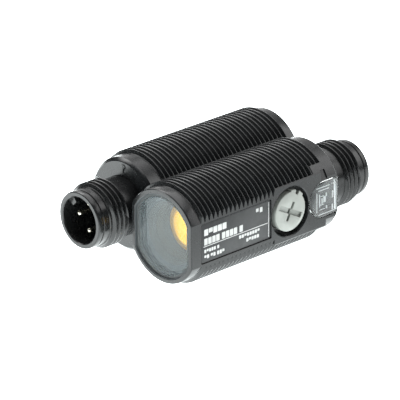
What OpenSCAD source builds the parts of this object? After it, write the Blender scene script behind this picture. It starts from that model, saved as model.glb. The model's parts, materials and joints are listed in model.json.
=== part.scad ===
// Through-beam photoelectric sensor pair with M18 threaded barrels and M12 plugs.
// The receiver (+X side) faces -Y and the emitter (-X side) faces +Y.
// Each unit is drawn in its own frame: front face at y = 0, plug towards +Y,
// label flat facing +X, barrel axis at z = 0. It is then placed in the pair.

/* [Pair] */
// Distance between the two barrel axes
pair_pitch = 15; // [15:0.5:60]
// Length of one unit, front face to plug nose
unit_len = 45.2; // [44.8:0.1:46]
// How far each plug nose stands past the other unit's front face
plug_overhang = 5.2; // [3:0.1:10]

/* [Barrel] */
// Crest radius of the barrel thread (M18)
barrel_r = 9; // [8.9:0.02:9]
// Pitch of the barrel thread
barrel_pitch = 1; // [1:0.25:1.5]
// Distance across the two flats
across_flats = 14.8; // [14.4:0.1:15]
// Radius of the plain collars at both ends
collar_r = 8.38; // [8.2:0.02:8.4]
// Length of the threaded body without the plug
body_len = 35; // [34.8:0.1:35.4]
// Where the thread starts, from the front face
thread_start = 2; // [1.5:0.1:2.5]
// Length of the thread along the barrel
thread_len = 30; // [28:0.5:30]
// Radius of the inside of the barrel
cavity_r = 6.9; // [6.6:0.1:6.9]
// Distance from the axis to the inside of each flat wall
cavity_flat = 6; // [5.9:0.1:6]

/* [Window] */
// How far the front window sits behind the rim
window_recess = 0.3; // [0.3:0.05:0.5]
// Thickness of the front window
window_t = 1.65; // [1.5:0.05:1.65]
// Radius of the condensing lens behind the window
lens_r = 4; // [3.5:0.1:4]
// Height of the lens dome
lens_dome = 0.5; // [0.3:0.1:0.8]

/* [Adjuster] */
// Distance of the adjuster's axis from the front face
dial_y = 23.35; // [23:0.05:23.5]
// Radius of the adjuster dial
dial_r = 3.6; // [3:0.1:3.7]
// Radius of the well around the dial
well_r = 4.5; // [4.4:0.1:4.5]
// Direction of the dial's pointer at rest, from +Y towards +Z
dial_angle = 62; // [0:1:180]

/* [Plug] */
// Crest radius of the plug thread (M12)
plug_r = 5.9; // [5.9:0.02:5.98]
// Radius of the plug's nose
nose_r = 5.12; // [5:0.02:5.2]
// Radius of the plug's neck
neck_r = 5.25; // [5.2:0.01:5.25]
// Radius of the socket inside the plug
socket_r = 4.2; // [4.15:0.05:4.25]
// Depth of the socket
socket_depth = 8.5; // [8:0.1:9]
// Diameter of the circle that the pins stand on
pin_circle = 5; // [4.8:0.1:5.2]
// Radius of a contact pin
pin_r = 0.5; // [0.4:0.05:0.5]

/* [Hidden] */
$fn = 64;
eps = 0.01;
axis_z = barrel_r;
front_y = unit_len / 2 - plug_overhang / 2;
flat = across_flats / 2;

thread_depth = 0.61;
thread_crest = 0.15;
thread_flank = 0.355;
barrel_root_r = barrel_r - thread_depth;
thread_turns = floor(thread_len / barrel_pitch);
thread_end = thread_start + thread_turns * barrel_pitch;
// Plain step between a thread and the collar next to it
run_out = 0.2;
front_chamfer = 0.3;
rear_chamfer = 0.6;
// Overlap that joins an inner boss to its wall
wall_overlap = 0.3;
// Cutting blocks for the label side start this far from the axis
side_x = 2;

// The smooth pad beside the adjuster, where the thread grooves are filled
pad_r = barrel_r - 0.02;
pad_y = 19.6;
pad_z = 5.3;
pad_rear_y = 28.9;
pad_rear_z = 6.5;
// The lower rear corner, where the thread ends early
relief_y = 29.9;
relief_z = 4.2;

// Front window and its seat
seat_r = 7.55;
seat_flat = 6.65;
pane_r = 6.95;
pane_flat = 6;
pane_step = 0.15;
window_gap = 0.08;
seal_t = 0.55;
seal_gap = 0.05;
window_y = window_recess + pane_step;
window_back = window_recess + window_t;
seal_back = window_back + seal_t;

// Optics behind the window
holder_y = seal_back + 0.15;
holder_back = 9;
holder_gap = 0.1;
lens_seat_y = 6.6;
lens_flange_r = lens_r + 0.4;
lens_flange_t = 0.5;
lens_gap = 0.05;
mouth_r = 5.6;
light_bore_r = 3;
optics_board_gap = 0.4;
optics_board_t = 0.6;
optics_board_y = holder_back + 0.05;
optics_board_back = optics_board_y + optics_board_t;

// Label recess
label_y = 2.3;
label_len = 16.5;
label_half = 3.6;
label_depth = 0.35;
label_gap = 0.12;
label_t = 0.2;

// Small rectangular mark pocket on the flat
mark_y = 30.7;
mark_len = 1.5;
mark_z = 4.0;
mark_h = 1.6;
mark_depth = 0.3;

// Adjuster: depths are distances from the barrel's axis
well_floor = 5.4;
boss_in = 4.2;
boss_r = 5.35;
dial_back = 5.75;
dial_face = flat - 0.02;
dial_chamfer = 0.15;
dial_tooth_r = dial_r + 0.3;
dial_tooth_half = 24;
dial_notch_r = 3.2;
dial_notch_w = 0.7;
wide_slot = [0.45, 0.95, 5.8];
narrow_slot = [0.8, 3.5, 0.55];
shaft_r = 1.4;
shaft_gap = 0.05;
shaft_in = 3.95;
blade = [0.75, 2.2, 0.6];
o_ring_seat_r = 2.3;
o_ring_seat_x = 4.66;
o_ring_minor = 0.35;
o_ring_gap = 0.02;

// Circuit board and what stands on it
board_x = 0.9;
board_t = 0.8;
board_face = board_x + board_t;
board_y = 10;
board_back = 32;
board_half = 6.2;
trimmer_top = 3.9;
trimmer_half = 2.4;
rotor_r = 1.5;
rotor_in = 2.5;
rotor_slot = [0.8, 3.2, 0.7];
can_front = 7.2;
can_r = 2.85;
can_wall = 0.2;
can_aperture_r = 1.4;
photodiode_half = 1.2;
photodiode_t = 0.8;
led_r = 1.5;
led_t = 0.9;
led_dome_r = 0.85;
flex_t = 0.15;
flex_half = 2;
flex_y = 11.2;
flex_x = 4.6;

// Board components: y, z, length, width, height
FRONT_PARTS = [
    [13.4, 0, 4.0, 4.0, 0.9],
    [17.6, 3.6, 1.6, 0.8, 0.6],
    [17.6, -3.6, 1.6, 0.8, 0.6],
    [18.4, 0, 3.0, 1.6, 1.1],
    [28.2, 4.2, 2.0, 1.2, 0.8],
    [28.2, -4.2, 2.0, 1.2, 0.8]
];
BACK_PARTS = [
    [13.5, 2.6, 5.0, 4.4, 1.2],
    [14.0, -3.2, 3.2, 1.6, 1.5],
    [19.5, -2.4, 3.2, 2.5, 1.6],
    [20.5, 3.0, 2.8, 2.4, 1.0],
    [25.0, 0, 3.9, 4.9, 1.4],
    [28.6, 3.8, 1.6, 0.8, 0.6],
    [28.6, -3.8, 1.6, 0.8, 0.6]
];

// Indicator window
clear_r = 3.35;
clear_y = 31.25;
clear_in = 6.3;
clear_gap = 0.05;
light_y = 29.1;
light_len = 2.2;
light_half = 2.2;
light_x = 2.4;
light_plate_x = 5.6;
light_column = 1.8;
light_margin = 0.2;
led_y = 30.2;
led_z = 1.3;
led_size = [0.6, 1.2, 1.0];

// Rib on the rear face: half width, inner and outer distance from the axis, height
rib_half = 0.14;
rib_z = [5.9, 7.4];
rib_h = 0.15;

// Plug
rear_wall_y = body_len - 1.5;
flange_y = rear_wall_y - 0.9;
flange_r = cavity_r - 0.2;
flange_flat = cavity_flat - 0.2;
plug_pitch = 1;
plug_turns = 4;
plug_root_r = 5.3;
plug_thread_start = unit_len - 6.6;
plug_thread_end = plug_thread_start + plug_turns * plug_pitch;
nose_groove_y = unit_len - 1.3;
nose_groove = [0.12, 0.25];
nose_groove_ramp = 0.06;
nose_groove_end = nose_groove_y + nose_groove.y;
nose_chamfer = 0.2;
socket_floor = unit_len - socket_depth;
carrier_back = rear_wall_y + 0.4;
carrier_gap = 0.04;
key_r = 3.1;
key_w = 1.1;
key_setback = 1;
key_angle = 45;
pin_tip = unit_len - 2;
pin_root = flange_y + 0.15;
pin_gap = 0.02;
plug_seal_major = 5.62;
plug_seal_minor = 0.34;
plug_seal_seat_r = 6;
plug_seal_depth = 0.72;
lead_r = 0.3;
lead_y = board_back - 0.4;
lead_start = pin_root - 0.35;
// Size of the solder joint at the end of a lead, against the lead itself
solder_swell = 1.3;

// ---------------------------------------------------------------- helpers

// Puts a unit's pieces at the receiver's place
module at_receiver() {
    translate([pair_pitch / 2, -front_y, axis_z]) children();
}

// Puts a unit's pieces at the emitter's place, facing the other way
module at_emitter() {
    rotate([0, 0, 180]) at_receiver() children();
}

// Round bar along Y
module rod_y(r, y0, y1) {
    translate([0, y0, 0]) rotate([-90, 0, 0]) cylinder(r = r, h = y1 - y0);
}

// Round bar along X
module rod_x(r, x0, x1) {
    translate([x0, 0, 0]) rotate([0, 90, 0]) cylinder(r = r, h = x1 - x0);
}

// Bar along Y whose section is a circle cut by two flats
module flat_sided(r, half, y0, y1) {
    intersection() {
        rod_y(r, y0, y1);
        translate([-half, y0 - 1, -r - 1]) cube([2 * half, y1 - y0 + 2, 2 * r + 2]);
    }
}

// Solid of revolution about Y from points given as [radius, y]
module turned(points) {
    rotate([-90, 0, 0]) rotate_extrude($fn = 96) polygon(points);
}

// Ring of round section about Y
module ring_y(major, minor, y) {
    translate([0, y, 0]) rotate([-90, 0, 0]) rotate_extrude() translate([major, 0]) circle(minor);
}

// Straight round lead between two points
module lead(from, to, r) {
    d = to - from;
    length = norm(d);
    translate(from) rotate([0, acos(d.z / length), atan2(d.y, d.x)]) cylinder(r = r, h = length);
    translate(to) sphere(r = r * solder_swell);
}

// Points of one thread turn, as [radius, y]
function thread_turn(y, root, crest) = [
    [root, y],
    [crest, y + thread_flank],
    [crest, y + thread_flank + thread_crest],
    [root, y + 2 * thread_flank + thread_crest]
];

// Points of a whole thread, as [radius, y]
function thread_points(y, turns, pitch, root, crest) = [
    for (i = [0:turns - 1])
        for (p = thread_turn(y + i * pitch, root, crest)) p
];

// ---------------------------------------------------------------- housing

// Threaded barrel before it is hollowed
module barrel_blank() {
    turned(concat(
        [[0, 0], [collar_r - front_chamfer, 0], [collar_r, front_chamfer], [collar_r, thread_start]],
        thread_points(thread_start, thread_turns, barrel_pitch, barrel_root_r, barrel_r),
        [[collar_r, thread_end + run_out], [collar_r, body_len - rear_chamfer],
         [collar_r - rear_chamfer, body_len], [0, body_len]]
    ));
}

// Smooth pad that fills the groove ends beside the adjuster
module side_pad() {
    intersection() {
        rod_y(pad_r, pad_y, thread_end);
        union() {
            translate([side_x, pad_y, -pad_z]) cube([flat, thread_end - pad_y, 2 * pad_z]);
            translate([side_x, pad_rear_y, 0]) cube([flat, thread_end - pad_rear_y, pad_rear_z]);
        }
    }
}

// Early end of the thread at the lower rear corner
module thread_relief() {
    difference() {
        translate([side_x, relief_y, -barrel_r - 1]) cube([barrel_r, body_len, barrel_r + 1 - relief_z]);
        rod_y(collar_r, relief_y - 1, 2 * body_len);
    }
}

// Hollow inside of the barrel, its window seat and its rear hole
module barrel_hollow() {
    flat_sided(seat_r, seat_flat, -1, seal_back);
    flat_sided(cavity_r, cavity_flat, seal_back - eps, rear_wall_y);
    rod_y(plug_seal_seat_r, rear_wall_y - eps, rear_wall_y + plug_seal_depth);
    rod_y(neck_r + shaft_gap, rear_wall_y, body_len + 1);
}

// Outline of the indicator window seen along X, grown by a gap
module clear_outline(gap, x0, x1) {
    translate([0, clear_y, 0]) rod_x(clear_r + gap, x0, x1);
    translate([x0, clear_y, -clear_r - gap])
        cube([x1 - x0, body_len - clear_y + 2 * gap, 2 * (clear_r + gap)]);
}

// Shallow recesses in the label flat
module flat_recesses() {
    translate([flat - label_depth, label_y, -label_half]) cube([1, label_len, 2 * label_half]);
    translate([flat - mark_depth, mark_y, mark_z]) cube([1, mark_len, mark_h]);
    clear_outline(clear_gap, clear_in, flat + 1);
    translate([cavity_flat - 1, light_y - light_margin, -light_half - light_margin])
        cube([2, light_len + 2 * light_margin, 2 * (light_half + light_margin)]);
}

// Raised rib at the top of the rear face that shows the plug's key side
module key_rib() {
    translate([-rib_half, body_len - rib_h, rib_z[0]])
        cube([2 * rib_half, 2 * rib_h, rib_z[1] - rib_z[0]]);
}

// Barrel shared by both units
module unit_barrel() {
    difference() {
        intersection() {
            union() {
                difference() {
                    barrel_blank();
                    thread_relief();
                }
                side_pad();
            }
            translate([-flat, -1, -barrel_r - 1]) cube([across_flats, body_len + 2, 2 * barrel_r + 2]);
        }
        barrel_hollow();
        flat_recesses();
    }
    key_rib();
}

// Barrel with the adjuster's well and its inner boss
module receiver_housing() {
    color("#1d1f20") at_receiver() difference() {
        union() {
            unit_barrel();
            translate([0, dial_y, 0]) rod_x(boss_r, boss_in, cavity_flat + wall_overlap);
        }
        translate([0, dial_y, 0]) rod_x(well_r, well_floor, flat + 1);
        translate([0, dial_y, 0]) rod_x(o_ring_seat_r, o_ring_seat_x, well_floor + eps);
        translate([0, dial_y, 0]) rod_x(shaft_r + shaft_gap, boss_in - 1, well_floor);
    }
}

module emitter_housing() {
    color("#1d1f20") at_emitter() unit_barrel();
}

// ---------------------------------------------------------------- front optics

// Flat window with a slightly raised pane
module window_plate() {
    flat_sided(seat_r - window_gap, seat_flat - window_gap, window_y, window_back);
    flat_sided(pane_r, pane_flat, window_recess, window_y + eps);
}

module window_gasket() {
    difference() {
        flat_sided(seat_r - seal_gap, seat_flat - seal_gap, window_back, seal_back);
        flat_sided(cavity_r + seal_gap, cavity_flat + seal_gap, window_back - 1, seal_back + 1);
    }
}

// Optical block with a conical mouth and a seat for the lens
module lens_block() {
    difference() {
        flat_sided(cavity_r - holder_gap, cavity_flat - holder_gap, holder_y, holder_back);
        turned([[0, holder_y - eps], [mouth_r, holder_y - eps], [lens_flange_r + lens_gap, lens_seat_y],
                [lens_flange_r + lens_gap, lens_seat_y + lens_flange_t],
                [light_bore_r, lens_seat_y + lens_flange_t],
                [light_bore_r, holder_back + 1], [0, holder_back + 1]]);
    }
}

// Plano-convex lens with a flange
module dome_lens() {
    dome_sphere = (lens_r * lens_r + lens_dome * lens_dome) / (2 * lens_dome);
    rod_y(lens_flange_r, lens_seat_y, lens_seat_y + lens_flange_t);
    intersection() {
        translate([0, lens_seat_y - lens_dome + dome_sphere, 0]) sphere(r = dome_sphere);
        rod_y(lens_r, lens_seat_y - lens_dome - 1, lens_seat_y + eps);
    }
}

// Small board behind the lens block
module optics_board() {
    flat_sided(cavity_r - optics_board_gap, cavity_flat - optics_board_gap, optics_board_y, optics_board_back);
}

// Thin flex strip that joins the two boards at a right angle
module board_flex() {
    translate([0, 0, -flex_half]) linear_extrude(2 * flex_half) polygon([
        [board_face, flex_y], [board_face, optics_board_back + eps],
        [flex_x, optics_board_back + eps], [flex_x, optics_board_back + flex_t],
        [board_face + flex_t, optics_board_back + flex_t], [board_face + flex_t, flex_y]
    ]);
}

module receiver_window() {
    color("#5f6a6d") at_receiver() window_plate();
}

module receiver_window_seal() {
    color("#101010") at_receiver() window_gasket();
}

module receiver_lens_holder() {
    color("#2a2c2d") at_receiver() lens_block();
}

module receiver_lens() {
    color("#f0a010") at_receiver() dome_lens();
}

// Thin metal can with an aperture in front of the photodiode
module receiver_shield_can() {
    color("#c9a750") at_receiver() difference() {
        rod_y(can_r, can_front, optics_board_y);
        rod_y(can_r - can_wall, can_front + can_wall, optics_board_y + 1);
        rod_y(can_aperture_r, can_front - 1, can_front + 1);
    }
}

module receiver_photodiode() {
    color("#30343a") at_receiver()
        translate([-photodiode_half, optics_board_y - photodiode_t, -photodiode_half])
            cube([2 * photodiode_half, photodiode_t, 2 * photodiode_half]);
}

module receiver_optics_board() {
    color("#1f6a3a") at_receiver() optics_board();
}

module receiver_flex() {
    color("#c98a20") at_receiver() board_flex();
}

module emitter_window() {
    color("#5f6a6d") at_emitter() window_plate();
}

module emitter_window_seal() {
    color("#101010") at_emitter() window_gasket();
}

module emitter_lens_holder() {
    color("#2a2c2d") at_emitter() lens_block();
}

module emitter_lens() {
    color("#c8d2d6") at_emitter() dome_lens();
}

// Round light source with a dome
module emitter_led() {
    led_front = optics_board_y - led_t;
    color("#d84030") at_emitter() {
        rod_y(led_r, led_front, optics_board_y);
        translate([0, led_front, 0]) sphere(r = led_dome_r);
    }
}

module emitter_optics_board() {
    color("#1f6a3a") at_emitter() optics_board();
}

module emitter_flex() {
    color("#c98a20") at_emitter() board_flex();
}

// ---------------------------------------------------------------- electronics

module main_board() {
    translate([board_x, board_y, -board_half]) cube([board_t, board_back - board_y, 2 * board_half]);
}

// Box-shaped components on both faces of the board
module board_parts() {
    for (p = FRONT_PARTS)
        translate([board_face, p[0] - p[2] / 2, p[1] - p[3] / 2]) cube([p[4], p[2], p[3]]);
    for (p = BACK_PARTS)
        translate([board_x - p[4], p[0] - p[2] / 2, p[1] - p[3] / 2]) cube([p[4], p[2], p[3]]);
}

// One surface-mount indicator lamp
module indicator_lamp(z) {
    translate([board_face, led_y - led_size.y / 2, z - led_size.z / 2]) cube(led_size);
}

// Four short leads from the pins to the board's rear edge
module lead_wires() {
    p = pin_circle / 2;
    back_pad = board_x - lead_r;
    front_pad = board_face + lead_r;
    lead([0, lead_start, p], [back_pad, lead_y, p + 1], lead_r);
    lead([0, lead_start, -p], [back_pad, lead_y, -p - 1], lead_r);
    lead([-p, lead_start, 0], [back_pad, lead_y, 0], lead_r);
    lead([p, lead_start, 0], [front_pad, lead_y, 0], lead_r);
}

module receiver_main_board() {
    color("#1f6a3a") at_receiver() main_board();
}

module receiver_board_parts() {
    color("#26282c") at_receiver() board_parts();
}

// Trimmer case with a round pocket for its rotor
module receiver_trimmer_body() {
    color("#d8dade") at_receiver() translate([0, dial_y, 0]) difference() {
        translate([board_face, -trimmer_half, -trimmer_half])
            cube([trimmer_top - board_face, 2 * trimmer_half, 2 * trimmer_half]);
        rod_x(rotor_r + shaft_gap, rotor_in - shaft_gap, trimmer_top + 1);
    }
}

module receiver_indicator_leds() {
    color("#e8e2c0") at_receiver() {
        indicator_lamp(led_z);
        indicator_lamp(-led_z);
    }
}

module receiver_lead_wires() {
    color("#9aa0a4") at_receiver() lead_wires();
}

module emitter_main_board() {
    color("#1f6a3a") at_emitter() main_board();
}

module emitter_board_parts() {
    color("#26282c") at_emitter() board_parts();
}

module emitter_indicator_led() {
    color("#e8e2c0") at_emitter() indicator_lamp(led_z);
}

module emitter_lead_wires() {
    color("#9aa0a4") at_emitter() lead_wires();
}

// ---------------------------------------------------------------- label and indicator window

module label_plate() {
    translate([flat - label_depth, label_y + label_gap, -label_half + label_gap])
        cube([label_t, label_len - 2 * label_gap, 2 * (label_half - label_gap)]);
}

module clear_window() {
    clear_outline(0, clear_in + eps, flat);
}

// Two light columns joined by a plate under the clear window
module light_guide() {
    translate([light_plate_x, light_y, -light_half])
        cube([clear_in - light_plate_x, light_len, 2 * light_half]);
    for (z = [-light_half, light_half - light_column])
        translate([light_x, light_y + light_margin, z])
            cube([light_plate_x - light_x + eps, light_len - 2 * light_margin, light_column]);
}

module receiver_label() {
    color("#3a3e40") at_receiver() label_plate();
}

module receiver_indicator_window() {
    color("#b8c4c8") at_receiver() clear_window();
}

module receiver_light_guide() {
    color("#d4dcdc") at_receiver() light_guide();
}

module emitter_label() {
    color("#3a3e40") at_emitter() label_plate();
}

module emitter_indicator_window() {
    color("#b8c4c8") at_emitter() clear_window();
}

module emitter_light_guide() {
    color("#d4dcdc") at_emitter() light_guide();
}

// ---------------------------------------------------------------- adjuster

// Raised sector on the dial's edge, later split into two teeth by the pointer notch
module dial_teeth() {
    half_width = dial_tooth_r * sin(dial_tooth_half);
    intersection() {
        rod_x(dial_tooth_r, dial_back + dial_chamfer, dial_face - 2 * dial_chamfer);
        translate([dial_back, dial_r / 2, -half_width]) cube([flat, dial_r, 2 * half_width]);
    }
}

// Screwdriver dial, drawn with its pointer along +Y
module dial_body() {
    difference() {
        union() {
            rotate([0, 90, 0]) rotate_extrude($fn = 96) polygon([
                [0, shaft_in], [shaft_r, shaft_in], [shaft_r, dial_back], [dial_r, dial_back],
                [dial_r, dial_face - dial_chamfer], [dial_r - dial_chamfer, dial_face], [0, dial_face]
            ]);
            dial_teeth();
            translate([shaft_in - blade.x, -blade.y / 2, -blade.z / 2])
                cube([blade.x + eps, blade.y, blade.z]);
        }
        translate([dial_face - wide_slot.x, -wide_slot.y / 2, -wide_slot.z / 2])
            cube([1, wide_slot.y, wide_slot.z]);
        translate([dial_face - narrow_slot.x, -narrow_slot.y / 2, -narrow_slot.z / 2])
            cube([1, narrow_slot.y, narrow_slot.z]);
        translate([dial_back - 1, dial_notch_r, -dial_notch_w / 2]) cube([4, 2, dial_notch_w]);
    }
}

// Turns a piece to the dial's rest angle about the dial's axis
module at_dial() {
    at_receiver() translate([0, dial_y, 0]) rotate([dial_angle, 0, 0]) children();
}

module adjuster_dial() {
    color("#cfd3cb") at_dial() dial_body();
}

module adjuster_seal() {
    color("#181818") at_dial() translate([o_ring_seat_x + o_ring_minor + o_ring_gap, 0, 0])
        rotate([0, 90, 0]) rotate_extrude() translate([shaft_r + o_ring_minor, 0]) circle(o_ring_minor);
}

// Slotted rotor that the dial's blade turns
module trimmer_rotor() {
    color("#e4e0d0") at_dial() difference() {
        rod_x(rotor_r, rotor_in, trimmer_top);
        translate([trimmer_top - rotor_slot.x, -rotor_slot.y / 2, -rotor_slot.z / 2])
            cube([2, rotor_slot.y, rotor_slot.z]);
    }
}

// ---------------------------------------------------------------- plug

// Threaded plug shell with its inner flange, socket and key
module plug_shell() {
    difference() {
        union() {
            flat_sided(flange_r, flange_flat, flange_y, rear_wall_y - eps);
            turned(concat(
                [[0, flange_y], [neck_r, flange_y], [neck_r, plug_thread_start - run_out]],
                thread_points(plug_thread_start, plug_turns, plug_pitch, plug_root_r, plug_r),
                [[nose_r, plug_thread_end + run_out],
                 [nose_r, nose_groove_y], [nose_r - nose_groove.x, nose_groove_y + nose_groove_ramp],
                 [nose_r - nose_groove.x, nose_groove_end - nose_groove_ramp],
                 [nose_r, nose_groove_end],
                 [nose_r, unit_len - nose_chamfer], [nose_r - nose_chamfer, unit_len], [0, unit_len]]
            ));
        }
        rod_y(socket_r, flange_y - 1, unit_len + 1);
    }
    rotate([0, -key_angle, 0]) translate([key_r, socket_floor, -key_w / 2])
        cube([socket_r + 0.3 - key_r, socket_depth - key_setback, key_w]);
}

// Insert that holds the four pins
module pin_carrier() {
    difference() {
        rod_y(socket_r - carrier_gap, carrier_back, socket_floor - eps);
        for (a = [0:90:270])
            rotate([0, a, 0]) translate([pin_circle / 2, 0, 0])
                rod_y(pin_r + pin_gap, carrier_back - 1, socket_floor + 1);
    }
}

// Four round-tipped contact pins
module pins() {
    for (a = [0:90:270])
        rotate([0, a, 0]) translate([pin_circle / 2, 0, 0]) {
            rod_y(pin_r, pin_root, pin_tip - pin_r);
            translate([0, pin_tip - pin_r, 0]) sphere(r = pin_r);
        }
}

module plug_seal() {
    ring_y(plug_seal_major, plug_seal_minor, rear_wall_y + plug_seal_depth / 2);
}

module receiver_connector_shell() {
    color("#1a1c1c") at_receiver() plug_shell();
}

module receiver_pin_carrier() {
    color("#0c0c0c") at_receiver() pin_carrier();
}

module receiver_pins() {
    color("#d9d2b4") at_receiver() pins();
}

module receiver_connector_seal() {
    color("#181818") at_receiver() plug_seal();
}

module emitter_connector_shell() {
    color("#1a1c1c") at_emitter() plug_shell();
}

module emitter_pin_carrier() {
    color("#0c0c0c") at_emitter() pin_carrier();
}

module emitter_pins() {
    color("#d9d2b4") at_emitter() pins();
}

module emitter_connector_seal() {
    color("#181818") at_emitter() plug_seal();
}

receiver_housing();
receiver_window();
receiver_window_seal();
receiver_lens_holder();
receiver_lens();
receiver_shield_can();
receiver_photodiode();
receiver_optics_board();
receiver_flex();
receiver_main_board();
receiver_board_parts();
receiver_trimmer_body();
receiver_label();
receiver_indicator_window();
receiver_light_guide();
receiver_indicator_leds();
receiver_connector_shell();
receiver_pin_carrier();
receiver_pins();
receiver_connector_seal();
receiver_lead_wires();
adjuster_dial();
adjuster_seal();
trimmer_rotor();
emitter_housing();
emitter_window();
emitter_window_seal();
emitter_lens_holder();
emitter_lens();
emitter_led();
emitter_optics_board();
emitter_flex();
emitter_main_board();
emitter_board_parts();
emitter_label();
emitter_indicator_window();
emitter_light_guide();
emitter_indicator_led();
emitter_connector_shell();
emitter_pin_carrier();
emitter_pins();
emitter_connector_seal();
emitter_lead_wires();
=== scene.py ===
import json
import math

import bmesh
import bpy
from mathutils import Matrix, Vector


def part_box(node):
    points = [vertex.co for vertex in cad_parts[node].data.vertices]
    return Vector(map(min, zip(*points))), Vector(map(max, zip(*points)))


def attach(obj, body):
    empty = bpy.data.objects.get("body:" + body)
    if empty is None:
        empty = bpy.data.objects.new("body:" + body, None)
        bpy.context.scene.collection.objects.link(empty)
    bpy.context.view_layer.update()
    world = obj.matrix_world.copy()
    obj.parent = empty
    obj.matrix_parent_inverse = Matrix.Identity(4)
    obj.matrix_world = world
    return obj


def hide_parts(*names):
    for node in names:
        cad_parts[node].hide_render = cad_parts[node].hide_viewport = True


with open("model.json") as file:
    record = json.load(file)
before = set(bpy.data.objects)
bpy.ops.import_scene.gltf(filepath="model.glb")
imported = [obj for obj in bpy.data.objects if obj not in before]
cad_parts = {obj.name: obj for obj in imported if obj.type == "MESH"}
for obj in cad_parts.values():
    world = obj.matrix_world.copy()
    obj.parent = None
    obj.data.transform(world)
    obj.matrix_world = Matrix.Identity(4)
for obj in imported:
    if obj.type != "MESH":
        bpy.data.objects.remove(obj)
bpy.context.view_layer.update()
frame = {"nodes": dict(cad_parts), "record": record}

MM = 0.001
TAU = 2 * math.pi

# ------------------------------------------------------------------ sizes of one unit, in mm
# A unit's own frame: front face at y = 0, plug towards +Y, label flat facing +X, axis at z = 0.

FLAT = 7.4
BODY_LEN = 35.0
UNIT_LEN = 45.2
COLLAR_R = 8.38
FRONT_CHAMFER = 0.3
REAR_CHAMFER = 0.6
FLAT_CHAMFER = 0.18
BARREL_R = 9.0
BARREL_PITCH = 1.0
THREAD_START = 2.0
THREAD_TURNS = 30
PAD_DROP = 0.02
PAD_Y = 19.6
PAD_Z = 5.3
PAD_REAR_Y = 28.9
PAD_REAR_Z = 6.5
RELIEF_Y = 29.9
RELIEF_Z = 4.2

# Seat of the front window, and the cavity behind it
SEAT_R = 7.55
SEAT_FLAT = 6.65
SEAT_BACK = 2.5
CORNER_R = 0.9
CAVITY_R = 6.9
CAVITY_FLAT = 6.0
REAR_WALL_Y = 33.5

# Label recess and plate
LABEL_Y0 = 2.3
LABEL_Y1 = 18.8
LABEL_HALF = 3.6
LABEL_DEPTH = 0.35
LABEL_TOP = FLAT - 0.15
LABEL_GAP = 0.12
LABEL_CORNER_R = 0.3

# Dial, its well and the boss inside the barrel. The tooth and the notch are half widths in degrees
DIAL_Y = 23.35
DIAL_R = 3.6
DIAL_TOOTH_R = 3.9
DIAL_TOOTH_HALF = 24
DIAL_NOTCH_R = 3.2
DIAL_NOTCH_HALF = 6
DIAL_FACE = 7.38
DIAL_BACK = 5.75
DIAL_ANGLE = math.radians(62)
WELL_R = 4.5
WELL_FLOOR = 5.4
BOSS_R = 5.35
BOSS_BACK = 4.2
SHAFT_R = 1.4
O_RING_SEAT_R = 2.3
O_RING_SEAT_X = 4.66

# Indicator window: its round end, that end's centre and its underside
CLEAR_R = 3.35
CLEAR_Y = 31.25
CLEAR_IN = 6.3

# Opening under the indicator window, where the light guide stands
LIGHT_Y0 = 29.0
LIGHT_Y1 = 32.4
LIGHT_HALF = 2.6

# Facet across the collar above the indicator window, turned about the axis from the label side
MARK_X = 8.15
MARK_Y0 = 30.7
MARK_Y1 = 32.25
MARK_HALF = 0.95
MARK_ANGLE = math.radians(31.5)

# Rib and dot at the top of the rear face
RIB_HALF = 0.14
RIB_Z0 = 5.9
RIB_Z1 = 7.4
DOT_R = 0.42
DOT_X = -0.25
DOT_Z = 7.0

# Light guide in that opening, and the dark deck under the guide's facets
GUIDE_TOP = 5.95
GUIDE_HALF = 2.2
DECK_X = 6.5
DECK_Y0 = 29.5
DECK_Y1 = 34.2
DECK_Z0 = -1.9
DECK_Z1 = 2.4

# Front window: its flange, its raised pane and the border round the pane
WINDOW_R = 7.44
WINDOW_HALF = 6.54
WINDOW_BACK_Y = 1.95
PANE_R = 7.0
PANE_HALF = 6.05
PANE_CORNER_R = 0.75
PANE_Y = 0.3
BORDER_Y = 0.4

# Optical block and lens
HOLDER_R = 6.8
HOLDER_HALF = 5.9
HOLDER_CORNER_R = 0.8
HOLDER_FRONT_Y = 2.65
HOLDER_BACK_Y = 9.0
LENS_R = 4.0
LENS_DOME = 0.5
LENS_RIM_R = 4.4
LENS_FRONT_Y = 6.6
LENS_BACK_Y = 7.1

# Plug with its thread, nose groove, socket, key, flange and pins
PLUG_R = 5.9
NOSE_R = 5.12
NOSE_GROOVE_Y = 43.9
NOSE_GROOVE_DEPTH = 0.16
NECK_R = 5.25
SOCKET_R = 4.2
PLUG_START = 38.6
PLUG_TURNS = 4
PLUG_PITCH = 1.0
PLUG_ROOT_R = 5.3
SOCKET_FLOOR = 36.7
KEY_R = 3.1
KEY_HALF_W = 0.55
KEY_SETBACK = 1.0
KEY_ANGLE = math.radians(45)
FLANGE_R = 5.7
FLANGE_Y = 32.6
PIN_TIP = 43.2
PIN_CIRCLE_R = 2.5
PIN_R = 0.5

# Vertices closer than this are joined, in mm
WELD = 1e-4
# Half the angle, in radians, between the two columns that carry a step in a skin
STEP_ANGLE = 0.004
DIAL_STEP_ANGLE = 0.008
# Divisions of a barrel outline: along a flat, round a corner and along an arc
FLAT_STEPS = 4
CORNER_STEPS = 6
ARC_STEPS = 40


# ------------------------------------------------------------------ mesh building

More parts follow.
